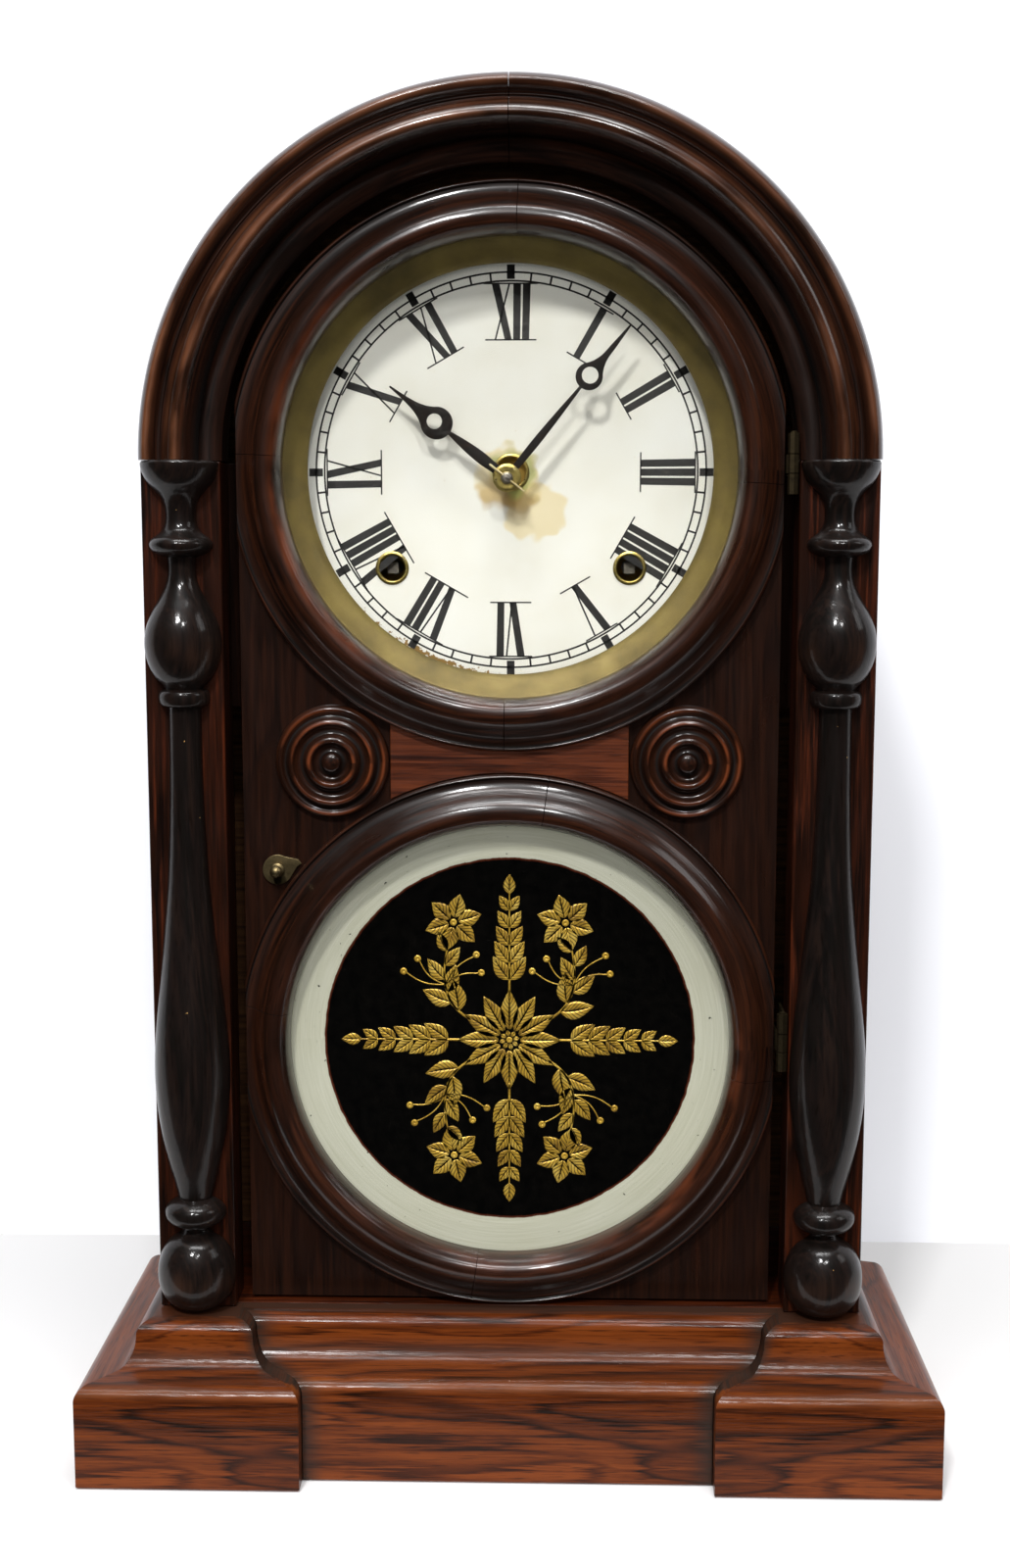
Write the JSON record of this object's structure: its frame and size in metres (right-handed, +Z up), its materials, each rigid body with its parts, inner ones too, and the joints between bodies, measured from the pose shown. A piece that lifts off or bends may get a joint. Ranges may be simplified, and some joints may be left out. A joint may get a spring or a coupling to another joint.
{
  "type": "shelf clock",
  "caption": "Round-top wooden shelf clock with half columns, a hinged door over dial and painted tablet, moon hands, key-wound movement, pendulum and bell.",
  "frame": {"origin": "centre of the base's footprint, on the surface that the clock stands on", "axes": "+Z up, +X to the right seen from the front, +Y from the front to the back"},
  "size_m": [0.294, 0.12, 0.4701],
  "materials": {
    "rosewood": "rosewood veneer under old shellac, streaked grain",
    "dark_wood": "dark stained hardwood, worn shellac on the crests",
    "ebonised_wood": "turned hardwood, ebonised and polished",
    "pine": "plain sawn pine, unpolished",
    "clear_glass": "old window glass",
    "painted_glass": "glass painted on the back in black with a silvered border and gilt sprays",
    "aged_brass": "thin pressed brass, dulled",
    "movement_brass": "rolled brass",
    "steel": "plain drawn steel",
    "painted_dial": "cream paint on zinc, black printed numerals",
    "blued_steel": "dark blued steel"
  },
  "bodies": {
    "case": {"base_front_moulding": "rosewood", "base_moulding_left": "rosewood", "base_moulding_right": "rosewood", "side_left": "rosewood", "side_right": "rosewood", "arch_shell": "rosewood", "pilaster_left": "rosewood", "pilaster_right": "rosewood", "arch_moulding_left": "dark_wood", "arch_moulding_right": "dark_wood", "column_left": "ebonised_wood", "column_right": "ebonised_wood", "base_board": "pine", "back_board": "pine", "dial_rail_left": "pine", "dial_rail_right": "pine", "hinge_upper_case_leaf": "aged_brass", "hinge_lower_case_leaf": "aged_brass", "centre_grommet": "aged_brass", "winding_grommet_left": "aged_brass", "winding_grommet_right": "aged_brass", "front_plate": "movement_brass", "back_plate": "movement_brass", "bell": "movement_brass", "time_mainspring": "steel", "strike_mainspring": "steel", "bell_post": "steel", "dial_plate": "painted_dial"},
    "door": {"door_panel": "dark_wood", "dial_ring": "dark_wood", "tablet_ring": "dark_wood", "dial_glass": "clear_glass", "tablet_glass": "painted_glass", "rosette_left": "dark_wood", "rosette_right": "dark_wood", "bridge_panel": "rosewood", "sight_ring": "aged_brass", "latch_plate": "aged_brass", "hinge_upper_door_leaf": "aged_brass", "hinge_lower_door_leaf": "aged_brass"},
    "latch": {"latch_knob": "aged_brass", "latch_tongue": "steel"},
    "minute": {"minute_hand": "blued_steel", "hand_washer": "aged_brass", "hand_pin": "aged_brass", "centre_arbor": "steel"},
    "hour": {"hour_hand": "blued_steel", "hour_wheel": "movement_brass"},
    "minute_wheel": {"minute_wheel": "movement_brass"},
    "second_wheel": {"second_wheel": "movement_brass"},
    "time_great_wheel": {"time_great_wheel": "movement_brass"},
    "strike_great_wheel": {"strike_great_wheel": "movement_brass"},
    "time_winding_arbor": {"time_winding_arbor": "steel"},
    "strike_winding_arbor": {"strike_winding_arbor": "steel"},
    "escape_wheel": {"escape_wheel": "movement_brass"},
    "pendulum": {"verge": "steel", "pendulum_rod": "steel", "pendulum_bob": "movement_brass", "rating_nut": "movement_brass"},
    "hammer": {"hammer": "steel"}
  },
  "joints": [
    {"name": "door_swing", "type": "hinge", "parent": "case", "child": "door", "pos_m": [0.0941, -0.0273, 0.2], "axis": [0, 0, 1], "range_deg": [0, 95]},
    {"name": "latch_turn", "type": "hinge", "parent": "door", "child": "latch", "pos_m": [-0.0802, -0.0195, 0.20767], "axis": [0, -1, 0], "range_deg": [0, 90]},
    {"name": "minute_turn", "type": "hinge", "parent": "case", "child": "minute", "pos_m": [-0.001, 0.014, 0.3417], "axis": [0, 1, 0], "continuous": true},
    {"name": "hour_turn", "type": "hinge", "parent": "case", "child": "hour", "pos_m": [-0.001, 0.014, 0.3417], "axis": [0, 1, 0], "continuous": true},
    {"name": "minute_wheel_turn", "type": "hinge", "parent": "case", "child": "minute_wheel", "pos_m": [-0.001, 0.008, 0.3577], "axis": [0, 1, 0], "continuous": true},
    {"name": "second_wheel_turn", "type": "hinge", "parent": "case", "child": "second_wheel", "pos_m": [0.0134, 0.016, 0.32403], "axis": [0, 1, 0], "continuous": true},
    {"name": "time_great_wheel_turn", "type": "hinge", "parent": "case", "child": "time_great_wheel", "pos_m": [0.0413, 0.02, 0.311], "axis": [0, 1, 0], "continuous": true},
    {"name": "strike_great_wheel_turn", "type": "hinge", "parent": "case", "child": "strike_great_wheel", "pos_m": [-0.0413, 0.02, 0.311], "axis": [0, 1, 0], "continuous": true},
    {"name": "time_winding_turn", "type": "hinge", "parent": "case", "child": "time_winding_arbor", "pos_m": [0.0413, 0.02, 0.311], "axis": [0, 1, 0], "continuous": true},
    {"name": "strike_winding_turn", "type": "hinge", "parent": "case", "child": "strike_winding_arbor", "pos_m": [-0.0413, 0.02, 0.311], "axis": [0, 1, 0], "continuous": true},
    {"name": "escape_turn", "type": "hinge", "parent": "case", "child": "escape_wheel", "pos_m": [-0.001, 0.01, 0.3037], "axis": [0, 1, 0], "continuous": true},
    {"name": "pendulum_swing", "type": "hinge", "parent": "case", "child": "pendulum", "pos_m": [-0.001, 0.005, 0.3197], "axis": [0, 1, 0], "range_deg": [-4, 4]},
    {"name": "hammer_lift", "type": "hinge", "parent": "case", "child": "hammer", "pos_m": [-0.017, 0.047, 0.2831], "axis": [0, -1, 0], "range_deg": [0, 10], "stiffness_Nm_per_rad": 0.004, "springref_deg": -11.46}
  ],
  "couplings": [
    {"joint": "hour_turn", "follows": "minute_turn", "ratio": 0.083333},
    {"joint": "minute_wheel_turn", "follows": "minute_turn", "ratio": -0.33333},
    {"joint": "second_wheel_turn", "follows": "minute_turn", "ratio": -0.2},
    {"joint": "time_great_wheel_turn", "follows": "minute_turn", "ratio": 0.033333}
  ]
}
